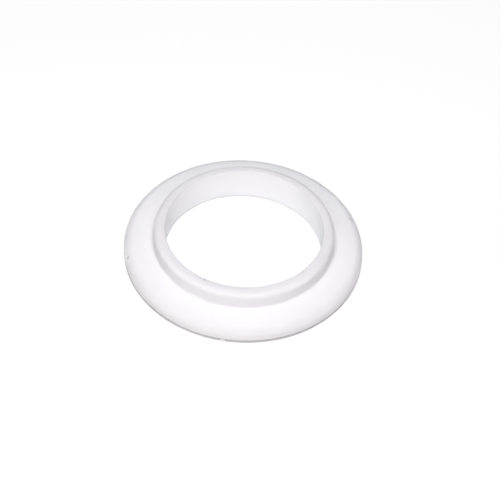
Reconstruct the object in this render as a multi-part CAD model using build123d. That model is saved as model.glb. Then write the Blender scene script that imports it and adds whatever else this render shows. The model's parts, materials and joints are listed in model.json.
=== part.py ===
from build123d import *
import os

# A moulded gasket for a swivel nut, in one piece. A round flange, flat underneath, carries a
# low collar round its bore. The flange's top has a slight crown and runs into a well rounded
# rim. The collar's crest is a narrow flat ring inside a rounded shoulder.
# The origin is the centre of the bore at the underside, and +Z points up through the collar.
# All lengths are in millimetres.

# Driving dimensions
bore_diameter = 15.8       # straight hole, right through flange and collar
collar_wall = 1.1          # between the bore and the collar's outside
collar_rise = 1.84         # from the flange's top at the collar's foot to the crest
flange_width = 3.0         # from the collar's outside to the rim
flange_thickness = 1.75    # at the collar's foot
flange_crown = 0.04        # how far the flange's top bows up between foot and rim

# Edges
rim_radius = 0.9           # flange's top into the rim
shoulder_radius = 0.6      # crest into the collar's outside
rim_bevel = 0.15           # rim into the underside
bore_bevel = 0.1           # bore into the crest and into the underside

# Worked out from the sizes above
bore_r = bore_diameter / 2
collar_r = bore_r + collar_wall
flange_r = collar_r + flange_width
height = flange_thickness + collar_rise


def outline():
    """The ring's section on one side of its axis, before its upper corners are rounded."""
    foot = (collar_r, flange_thickness)
    rim_top = (flange_r, flange_thickness)
    with BuildLine() as line:
        Polyline(
            foot,
            (collar_r, height),
            (bore_r + bore_bevel, height),
            (bore_r, height - bore_bevel),
            (bore_r, bore_bevel),
            (bore_r + bore_bevel, 0),
            (flange_r - rim_bevel, 0),
            (flange_r, rim_bevel),
            rim_top,
        )
        SagittaArc(rim_top, foot, -flange_crown)
    return line


def half_section():
    """The outline as a face, with its two upper corners rounded."""
    rounded = [
        ((flange_r, flange_thickness), rim_radius),
        ((collar_r, height), shoulder_radius),
    ]
    with BuildSketch(Plane.XZ) as section:
        add(outline())
        make_face()
        for corner, radius in rounded:
            nearest = section.vertices().sort_by_distance(corner)[0]
            fillet(nearest, radius)
    return section.sketch


def gasket():
    """The whole ring: its section turned round the bore's axis."""
    return revolve(half_section(), axis=Axis.Z)


os.makedirs("parts", exist_ok=True)
export_step(gasket(), "parts/gasket.step")
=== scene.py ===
import bpy
import json
import math
from mathutils import Matrix, Vector


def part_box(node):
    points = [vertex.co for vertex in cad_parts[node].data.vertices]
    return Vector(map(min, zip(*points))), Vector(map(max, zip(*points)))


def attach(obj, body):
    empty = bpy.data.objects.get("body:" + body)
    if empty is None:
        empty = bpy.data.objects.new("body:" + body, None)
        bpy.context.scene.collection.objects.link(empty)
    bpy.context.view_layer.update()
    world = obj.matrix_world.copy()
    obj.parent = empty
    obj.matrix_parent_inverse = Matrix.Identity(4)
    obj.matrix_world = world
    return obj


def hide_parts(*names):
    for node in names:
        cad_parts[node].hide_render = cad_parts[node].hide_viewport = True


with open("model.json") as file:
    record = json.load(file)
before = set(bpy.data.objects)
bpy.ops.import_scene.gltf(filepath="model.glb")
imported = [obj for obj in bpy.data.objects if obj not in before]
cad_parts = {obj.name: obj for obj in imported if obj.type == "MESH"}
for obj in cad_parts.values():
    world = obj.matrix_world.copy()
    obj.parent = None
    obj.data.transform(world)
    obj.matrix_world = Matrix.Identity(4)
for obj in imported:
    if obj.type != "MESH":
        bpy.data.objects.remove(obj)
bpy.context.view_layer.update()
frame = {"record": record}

MM = 0.001

# The ring's section, in millimetres. The frame gives the bore, the collar, the flange and the height.
MOUNTS = {mount["name"]: mount["dims"] for mount in frame["record"]["mounts"] if mount["dims"]}
BORE_R = MOUNTS["bore"]["r_mm"]
COLLAR_R = MOUNTS["collar"]["r_mm"]
FLANGE_R = MOUNTS["rim"]["r_mm"]
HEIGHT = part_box("gasket")[1].z / MM
FLANGE_THICKNESS = 1.75      # at the collar's foot
FLANGE_CROWN = 0.04          # how far the flange's top bows up between foot and rim
RIM_RADIUS = 0.9             # flange's top into the rim
RIM_LOWER_RADIUS = 0.25      # rim into the underside
FOOT_RADIUS = 0.15           # flange's top into the collar's outside
SHOULDER_RADIUS = 0.6        # collar's outside into the crest
MOUTH_RADIUS = 0.1           # crest into the bore
BORE_LOWER_RADIUS = 0.06     # bore into the underside

# How finely the ring is divided
BEARINGS = 720               # round the axis
STRAIGHT_STEP = 0.2          # along the section's straight stretches, in millimetres
ARC_STEP = 0.09              # along its rounds, in millimetres
ARC_LEAST = 5                # steps in the smallest round

# Relief that moulding and handling left: bearing in degrees, then in millimetres radius and height of
# its middle, half length along the rim, half width across it, and how far it moves the skin outward and
# upward
SCARS = {
    "gate_witness": (263.3, 12.0, 0.12, 0.13, 0.15, 0.04, 0.0),
    "gate_stub": (191.5, 11.9, 1.1, 0.5, 0.4, 0.07, 0.02),
    "stub_crease": (195.5, 11.78, 1.44, 0.2, 0.07, -0.06, -0.05),
    "rim_nick": (20.2, 11.6, 1.6, 0.2, 0.2, -0.08, -0.09),
    "mouth_nick_a": (244.3, 8.02, 3.59, 0.12, 0.12, 0.04, -0.07),
    "mouth_nick_b": (317.1, 8.02, 3.59, 0.1, 0.1, 0.04, -0.06),
    "mouth_nick_c": (213.5, 8.02, 3.59, 0.08, 0.08, 0.03, -0.04),
    "mouth_nick_d": (337.3, 8.02, 3.59, 0.08, 0.08, 0.03, -0.04),
}
SCAR_REACH = 3.0             # half widths after which a scar no longer counts

# Small marks in the skin: bearing in degrees, then radius, height and size in millimetres, and the change
# of tone in the middle. Faint darker and lighter spots, and painted light: painted shade in the crease and
# the nicks, and a painted highlight
SPOTS_AND_PAINTED_LIGHT = {
    # painted shade in the crease beside the gate stub
    "stub_crease": (195.5, 11.78, 1.43, 0.26, -0.3),
    # lighter spots
    "stub_pale_high": (187.9, 11.61, 1.59, 0.16, 0.05),
    "stub_pale_low": (197.8, 11.84, 1.37, 0.14, 0.06),
    "left_pale": (205.1, 11.86, 1.33, 0.16, 0.07),
    "left_spot": (188.7, 11.3, 1.72, 0.3, -0.03),
    # painted shade in the nick in the rim
    "rim_nick": (20.2, 11.52, 1.63, 0.36, -0.1),
    "right_pale": (33.1, 11.21, 1.74, 0.18, 0.04),
    # painted shade in the two larger nicks of the mouth
    "mouth_nick_a": (244.3, 8.04, 3.56, 0.22, -0.3),
    "mouth_nick_b": (317.1, 8.04, 3.56, 0.18, -0.2),
    "far_spot": (137.7, 11.04, 1.75, 0.3, -0.03),
    # painted highlight: a glint on the flange behind the collar
    "far_painted_glint": (131.7, 10.34, 1.77, 0.25, 0.04),
    "gate_witness": (263.3, 12.0, 0.2, 0.4, 0.05),
}
SPOT_CORE = 0.3             # the part of a mark's size that has its full change of tone

# Painted light and shade: one white plastic in five tones and tints, which stand in for light that the
# lamps don't give and for light that comes through the thin wall. The rim's side, the collar's wall and the
# bore are painted lighter than the flange, and the crest darker
FLANGE_TONE = 0.88
RIM_TONE = 0.97
CREST_TONE = 0.80
WALL_TONE = 0.955
BORE_TONE = 0.96
FLANGE_TINT = (1.0, 0.997, 1.026)
CREST_TINT = (0.998, 0.993, 1.032)
WALL_TINT = (0.996, 0.993, 1.042)
BORE_TINT = (0.984, 0.997, 1.036)

# Where each of these regions fades in: radius or height, in millimetres, with none of it and with all of it
RIM_SIDE_OUTSIDE = (FLANGE_R - 0.45, FLANGE_R - 0.2)
RIM_SIDE_BELOW = (1.5, 1.1)
COLLAR_INSIDE = (COLLAR_R + 0.22, COLLAR_R + 0.1)
COLLAR_ABOVE = (FLANGE_THICKNESS - 0.02, FLANGE_THICKNESS + 0.06)
CREST_ABOVE = (HEIGHT - 0.3, HEIGHT + 0.02)
BORE_INSIDE = (BORE_R + 0.1, BORE_R + 0.02)
BORE_BELOW = (HEIGHT - 0.03, HEIGHT - 0.13)

# Painted shade: a dark line along the rim's lower edge, next to the floor
EDGE_SHADE_TONE = 0.36             # how much darker it is
EDGE_SHADE_OUTSIDE = (FLANGE_R - 0.2, FLANGE_R - 0.1)
EDGE_SHADE_BELOW = (0.52, 0.45)
EDGE_SHADE_DRIFT = 0.1             # how far its upper border wanders, in millimetres
EDGE_SHADE_SCALE = 1.7             # waves of that border to a millimetre
WITNESS_CLEAR = (0.24, 0.34)     # distance from the gate's witness at which the painted shade starts

# The skin between the marks. Scales are waves to a millimetre.
CLOUD_SCALE = 0.45
CLOUD_TONE = 0.03            # how much the tone drifts from cloud to cloud
GRAIN_SCALE = 7.0
GRAIN_SHARE = 0.4            # of the grain in the relief, beside the clouds and the turning marks
TURNING_SCALE = 3.2          # rings left by the turned mould
RELIEF = 0.004               # millimetres
ROUGHNESS = 0.5
ROUGHNESS_SPREAD = 0.2
ROUGHNESS_SCALE = 2.2

# Camera, fitted to the ring's outline in the photograph
VIEW_ELEVATION = 47.2        # degrees above the floor
VIEW_ROLL = 3.62             # degrees, the ring's right side sits lower
VIEW_SCALE = 118.6           # pixels for the flange's radius, at the ring's centre
VIEW_CENTRE = (243.04, 251.7)    # pixel that shows the middle of the underside
VIEW_DISTANCE = 13.0         # in flange radii
PHOTO_WIDTH = 500            # pixels
SENSOR = 36.0                # millimetres

# Far lamps: bearing and elevation in degrees, brightness that white paper facing it would have, colour
FAR_LAMPS = {
    "front_low": (-90, 20, 0.175, (1.1, 1.0, 1.005)),
    "top": (-90, 89, 0.19, (0.98, 1.0, 1.012)),
    "left": (225, 35, 0.055, (1.0, 1.0, 0.98)),
}
LAMP_SPREAD = 35             # degrees across

# Near lamps: place and radius in millimetres, brightness that white paper facing it would have at the
# ring's middle, colour
NEAR_LAMPS = {
    "key": ((0, -30, 70), 20, 0.53, (1.03, 1.0, 1.0)),
    "over": ((0, 10, 60), 15, 0.148, (0.98, 1.0, 1.012)),
    "left": ((-70, 10, 35), 15, 0.066, (1.0, 1.0, 0.98)),
    "right": ((70, 10, 35), 15, 0.048, (1.05, 1.0, 1.14)),
}

FLOOR_SIZE = 0.5             # metres to each side
FLOOR_DROP = 0.00001         # metres below the underside
PAPER = 0.9                  # how much light the floor gives back to the ring
SEEN_SHADE = 0.2             # the part of the floor's seen white that shadows can take away
SEEN_GLOW = 0.85             # the part that they leave


def rounded(corners):
    """The closed section through these corners, each with its own radius."""
    points = []
    for i, (corner, radius) in enumerate(corners):
        before = corners[i - 1][0]
        after = corners[(i + 1) % len(corners)][0]
        points += corner_arc(Vector(before), Vector(corner), Vector(after), radius)
    return points


def corner_arc(before, corner, after, radius):
    """Points of the arc that rounds one corner of the section."""
    to_before = (before - corner).normalized()
    to_after = (after - corner).normalized()
    half = to_before.angle(to_after) / 2
    centre = corner + (to_before + to_after).normalized() * radius / math.sin(half)
    start = corner + to_before * radius / math.tan(half) - centre
    turn = math.pi - 2 * half
    if to_before.x * to_after.y - to_before.y * to_after.x > 0:
        turn = -turn
    count = max(ARC_LEAST, math.ceil(abs(turn) * radius / ARC_STEP))
    points = []
    for k in range(count + 1):
        points.append(centre + Matrix.Rotation(turn * k / count, 2) @ start)
    return points


def divided(points, step):
    """The same closed line, with extra points along its long stretches."""
    dense = []
    for i, start in enumerate(points):
        end = points[(i + 1) % len(points)]
        count = max(1, math.ceil((end - start).length / step))
        for k in range(count):
            dense.append(start.lerp(end, k / count))
    return dense


def crowned(point):
    """Lifts a point of the flange's top by the crown, and leaves all others."""
    along = (point.x - COLLAR_R) / (FLANGE_R - COLLAR_R)
    share = 1 - (FLANGE_THICKNESS - point.y) / RIM_RADIUS
    if not 0 < along < 1 or not 0 < share <= 1.001:
        return point
    return Vector((point.x, point.y + 4 * FLANGE_CROWN * along * (1 - along) * share))


def ring_section():
    """Radius and height of the points round the ring's section, in millimetres."""
    corners = [
        ((BORE_R, 0), BORE_LOWER_RADIUS),
        ((FLANGE_R, 0), RIM_LOWER_RADIUS),
        ((FLANGE_R, FLANGE_THICKNESS), RIM_RADIUS),
        ((COLLAR_R, FLANGE_THICKNESS), FOOT_RADIUS),
        ((COLLAR_R, HEIGHT), SHOULDER_RADIUS),
        ((BORE_R, HEIGHT), MOUTH_RADIUS),
    ]
    return [crowned(point) for point in divided(rounded(corners), STRAIGHT_STEP)]


def scarred(point, bearing):
    """A point of the section at this bearing, moved by the scars that reach it."""
    moved = point.copy()
    for middle, radius, height, length, width, outward, upward in SCARS.values():
        turned = (math.degrees(bearing) - middle + 180) % 360 - 180
        along = math.radians(turned) * radius / length
        across = (point - Vector((radius, height))).length / width
        reach = math.hypot(along, across)
        if reach < SCAR_REACH:
            moved += Vector((outward, upward)) * math.exp(-reach * reach)
    return moved


def ring():
    """The whole ring as one closed mesh."""
    section = ring_section()
    verts = []
    for i in range(BEARINGS):
        bearing = 2 * math.pi * i / BEARINGS
        for point in section:
            place = scarred(point, bearing)
            verts.append((place.x * math.cos(bearing) * MM, place.x * math.sin(bearing) * MM, place.y * MM))
    count = len(section)
    faces = []
    for i in range(BEARINGS):
        here = i * count
        there = (i + 1) % BEARINGS * count
        for k in range(count):
            after = (k + 1) % count
            faces.append((here + k, there + k, there + after, here + after))
    mesh = bpy.data.meshes.new("gasket_body")
    mesh.from_pydata(verts, [], faces)
    mesh.shade_smooth()
    piece = bpy.data.objects.new("gasket_body", mesh)
    bpy.context.scene.collection.objects.link(piece)
    return piece


class Wiring:
    """Short calls that add a node to a material, set it and wire it up."""

    def __init__(self, owner):
        owner.use_nodes = True
        self.tree = owner.node_tree

    def node(self, kind, inputs, **settings):
        added = self.tree.nodes.new(kind)
        for name, value in settings.items():
            setattr(added, name, value)
        self.fill(added, inputs)
        return added

    def fill(self, node, inputs):
        for name, value in inputs.items():
            if isinstance(value, bpy.types.NodeSocket):
                self.tree.links.new(value, node.inputs[name])
            else:
                node.inputs[name].default_value = value

    def math(self, operation, *values):
        return self.node("ShaderNodeMath", dict(enumerate(values)), operation=operation).outputs[0]

    def step(self, value, off, on, height=1.0):
        """Goes smoothly from 0, where the value is off, to the height, where it is on."""
        inputs = {"Value": value, "From Min": off, "From Max": on, "To Max": height}
        return self.node("ShaderNodeMapRange", inputs, interpolation_type="SMOOTHSTEP").outputs[0]

    def distance(self, first, second):
        inputs = {0: first, 1: second}
        return self.node("ShaderNodeVectorMath", inputs, operation="DISTANCE").outputs["Value"]

    def scaled(self, vector, factor):
        inputs = {0: vector, "Scale": factor}
        return self.node("ShaderNodeVectorMath", inputs, operation="SCALE").outputs["Vector"]

    def noise(self, place, scale, detail):
        inputs = {"Vector": place, "Scale": scale, "Detail": detail}
        return self.node("ShaderNodeTexNoise", inputs).outputs["Fac"]

    def blend(self, share, first, second):
        inputs = {0: share, 6: first, 7: second}
        return self.node("ShaderNodeMix", inputs, data_type="RGBA").outputs[2]


def on_ring(bearing, radius, height):
    """The point at this bearing, radius and height, in millimetres."""
    angle = math.radians(bearing)
    return (radius * math.cos(angle), radius * math.sin(angle), height)


def toned(tone, tint):
    """The colour that this tone and tint make."""
    return [tone * part for part in tint] + [1]


def regions(w, radius, height):
    """Painted light and shade: colour of the flange, the rim's side, the collar's outside, its crest and
    the bore, each a lighter or darker tone of the one plastic.
    """
    rim_side = w.math("MULTIPLY", w.step(radius, *RIM_SIDE_OUTSIDE), w.step(height, *RIM_SIDE_BELOW))
    inside = w.step(radius, *COLLAR_INSIDE)
    collar = w.math("MULTIPLY", inside, w.step(height, *COLLAR_ABOVE))
    crest = w.math("MULTIPLY", inside, w.step(height, *CREST_ABOVE))
    bore = w.math("MULTIPLY", w.step(radius, *BORE_INSIDE), w.step(height, *BORE_BELOW))
    colour = toned(FLANGE_TONE, FLANGE_TINT)
    for share, tone, tint in [
        (rim_side, RIM_TONE, FLANGE_TINT),
        (collar, WALL_TONE, WALL_TINT),
        (crest, CREST_TONE, CREST_TINT),
        (bore, BORE_TONE, BORE_TINT),
    ]:
        colour = w.blend(share, colour, toned(tone, tint))
    return colour


def painted_edge_shade(w, place, radius, height):
    """Painted shade along the rim's lower edge next to the floor, uneven, with a clean stretch at the
    gate's witness.
    """
    drift = w.math("MULTIPLY_ADD", w.noise(place, EDGE_SHADE_SCALE, detail=2.0), EDGE_SHADE_DRIFT, -EDGE_SHADE_DRIFT / 2)
    low = w.step(w.math("ADD", height, drift), *EDGE_SHADE_BELOW)
    outer = w.step(radius, *EDGE_SHADE_OUTSIDE)
    clear = w.step(w.distance(place, on_ring(*SCARS["gate_witness"][:3])), *WITNESS_CLEAR)
    shaded = w.math("MULTIPLY", w.math("MULTIPLY", low, outer), clear)
    return w.math("MULTIPLY", shaded, EDGE_SHADE_TONE)


def spots_and_painted_light(w, place):
    """Sum of the small marks as a change of tone: faint spots, painted shade in the crease and the nicks,
    and a painted highlight.
    """
    total = 0.0
    for bearing, radius, height, size, change in SPOTS_AND_PAINTED_LIGHT.values():
        away = w.distance(place, on_ring(bearing, radius, height))
        total = w.math("ADD", total, w.step(away, size, size * SPOT_CORE, change))
    return total


def moulded_plastic():
    """White moulded plastic with a satin skin, faintly cloudy, in which light travels a little way."""
    material = bpy.data.materials.new("moulded_plastic")
    w = Wiring(material)
    place = w.scaled(w.node("ShaderNodeTexCoord", {}).outputs["Object"], 1 / MM)
    x, y, height = w.node("ShaderNodeSeparateXYZ", {0: place}).outputs
    radius = w.math("SQRT", w.math("ADD", w.math("MULTIPLY", x, x), w.math("MULTIPLY", y, y)))
    clouds = w.noise(place, CLOUD_SCALE, detail=4.0)
    drift = w.math("MULTIPLY", w.math("SUBTRACT", clouds, 0.5), CLOUD_TONE)
    # The tone's change: cloudy drift, less the painted shade along the rim's lower edge, plus the small
    # marks, some of them painted shade and one a painted highlight
    change = w.math("ADD", w.math("SUBTRACT", drift, painted_edge_shade(w, place, radius, height)), spots_and_painted_light(w, place))
    rings = {"W": radius, "Scale": TURNING_SCALE, "Detail": 4.0}
    turning = w.node("ShaderNodeTexNoise", rings, noise_dimensions="1D").outputs["Fac"]
    grain = w.math("MULTIPLY", w.noise(place, GRAIN_SCALE, detail=3.0), GRAIN_SHARE)
    skin = w.math("ADD", grain, w.math("ADD", turning, clouds))
    relief = w.node("ShaderNodeBump", {"Strength": 1.0, "Distance": RELIEF * MM, "Height": skin})
    spread = w.math("MULTIPLY", w.noise(place, ROUGHNESS_SCALE, detail=3.0), ROUGHNESS_SPREAD)
    w.fill(w.tree.nodes["Principled BSDF"], {
        "Base Color": w.scaled(regions(w, radius, height), w.math("ADD", 1.0, change)),
        "Roughness": w.math("ADD", ROUGHNESS, spread),
        "Normal": relief.outputs["Normal"],
        "Specular IOR Level": 0.1,
        "Subsurface Weight": 0.5,
        "Subsurface Scale": 1.2 * MM,
        "Subsurface Radius": (1.0, 0.98, 0.96),
    })
    return material


def seen_white(w):
    """1 for the rays that look at the scene or mirror it, 0 for those that only carry light."""
    path = w.node("ShaderNodeLightPath", {}).outputs
    mirrored = w.math("MAXIMUM", path["Is Glossy Ray"], path["Is Transmission Ray"])
    return w.math("MAXIMUM", path["Is Camera Ray"], mirrored)


def floor():
    """A pale floor that looks white, less the ring's shadow."""
    mesh = bpy.data.meshes.new("floor")
    size = FLOOR_SIZE
    corners = [(-size, -size), (size, -size), (size, size), (-size, size)]
    mesh.from_pydata([(x, y, -FLOOR_DROP) for x, y in corners], [], [(0, 1, 2, 3)])
    plane = bpy.data.objects.new("floor", mesh)
    bpy.context.scene.collection.objects.link(plane)
    material = bpy.data.materials.new("floor_paper")
    w = Wiring(material)
    w.tree.nodes.clear()
    paper = w.node("ShaderNodeBsdfDiffuse", {"Color": (PAPER, PAPER, PAPER, 1)}).outputs[0]
    shade = w.node("ShaderNodeBsdfDiffuse", {"Color": (SEEN_SHADE, SEEN_SHADE, SEEN_SHADE, 1)}).outputs[0]
    glow = w.node("ShaderNodeEmission", {"Strength": SEEN_GLOW}).outputs[0]
    seen = w.node("ShaderNodeAddShader", {0: shade, 1: glow}).outputs[0]
    mixed = w.node("ShaderNodeMixShader", {0: seen_white(w), 1: paper, 2: seen}).outputs[0]
    w.node("ShaderNodeOutputMaterial", {"Surface": mixed})
    mesh.materials.append(material)


def backdrop():
    """White behind everything, seen by the camera and in reflections, with no light of its own."""
    world = bpy.data.worlds.new("backdrop")
    bpy.context.scene.world = world
    w = Wiring(world)
    w.fill(w.tree.nodes["Background"], {"Color": (1, 1, 1, 1), "Strength": seen_white(w)})


def far_lamps():
    """Large soft lamps, so far off that they light the ring evenly."""
    for name, (bearing, elevation, brightness, colour) in FAR_LAMPS.items():
        light = bpy.data.lights.new("lamp_" + name, "SUN")
        light.energy = brightness * math.pi
        light.color = colour
        light.angle = math.radians(LAMP_SPREAD)
        lamp = bpy.data.objects.new("lamp_" + name, light)
        flat = math.cos(math.radians(elevation))
        towards = Vector((
            math.cos(math.radians(bearing)) * flat,
            math.sin(math.radians(bearing)) * flat,
            math.sin(math.radians(elevation)),
        ))
        lamp.rotation_euler = towards.to_track_quat("Z", "Y").to_euler()
        bpy.context.scene.collection.objects.link(lamp)


def near_lamps():
    """Soft lamps close above the ring, which light its near side more than its far side."""
    for name, (place, radius, brightness, colour) in NEAR_LAMPS.items():
        light = bpy.data.lights.new("lamp_near_" + name, "POINT")
        # The lamp's watts spread over a sphere, and paper spreads what it gets over a half sphere.
        light.energy = brightness * 4 * math.pi ** 2 * (Vector(place) * MM).length_squared
        light.color = colour
        light.shadow_soft_size = radius * MM
        lamp = bpy.data.objects.new("lamp_near_" + name, light)
        lamp.location = Vector(place) * MM
        bpy.context.scene.collection.objects.link(lamp)


def camera():
    """A long lens, placed and turned as in the photograph."""
    elevation = math.radians(VIEW_ELEVATION)
    roll = math.radians(VIEW_ROLL)
    back = Vector((0, -math.cos(elevation), math.sin(elevation)))
    level = Vector((1, 0, 0))
    upright = Vector((0, math.sin(elevation), math.cos(elevation)))
    right = level * math.cos(roll) + upright * math.sin(roll)
    up = upright * math.cos(roll) - level * math.sin(roll)
    pixel = FLANGE_R * MM / VIEW_SCALE
    middle = PHOTO_WIDTH / 2
    aim = right * (middle - VIEW_CENTRE[0]) * pixel - up * (middle - VIEW_CENTRE[1]) * pixel
    lens = bpy.data.cameras.new("camera")
    lens.sensor_width = SENSOR
    lens.lens = SENSOR * VIEW_SCALE * VIEW_DISTANCE / PHOTO_WIDTH
    lens.clip_start = 0.001
    lens.clip_end = 10
    viewer = bpy.data.objects.new("camera", lens)
    place = Matrix((right, up, back)).transposed().to_4x4()
    place.translation = aim + back * VIEW_DISTANCE * FLANGE_R * MM
    viewer.matrix_world = place
    bpy.context.scene.collection.objects.link(viewer)
    bpy.context.scene.camera = viewer


gasket = ring()
gasket.data.materials.append(moulded_plastic())
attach(gasket, "root")
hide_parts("gasket")

floor()
backdrop()
far_lamps()
near_lamps()
camera()
bpy.context.scene.view_settings.view_transform = "Standard"
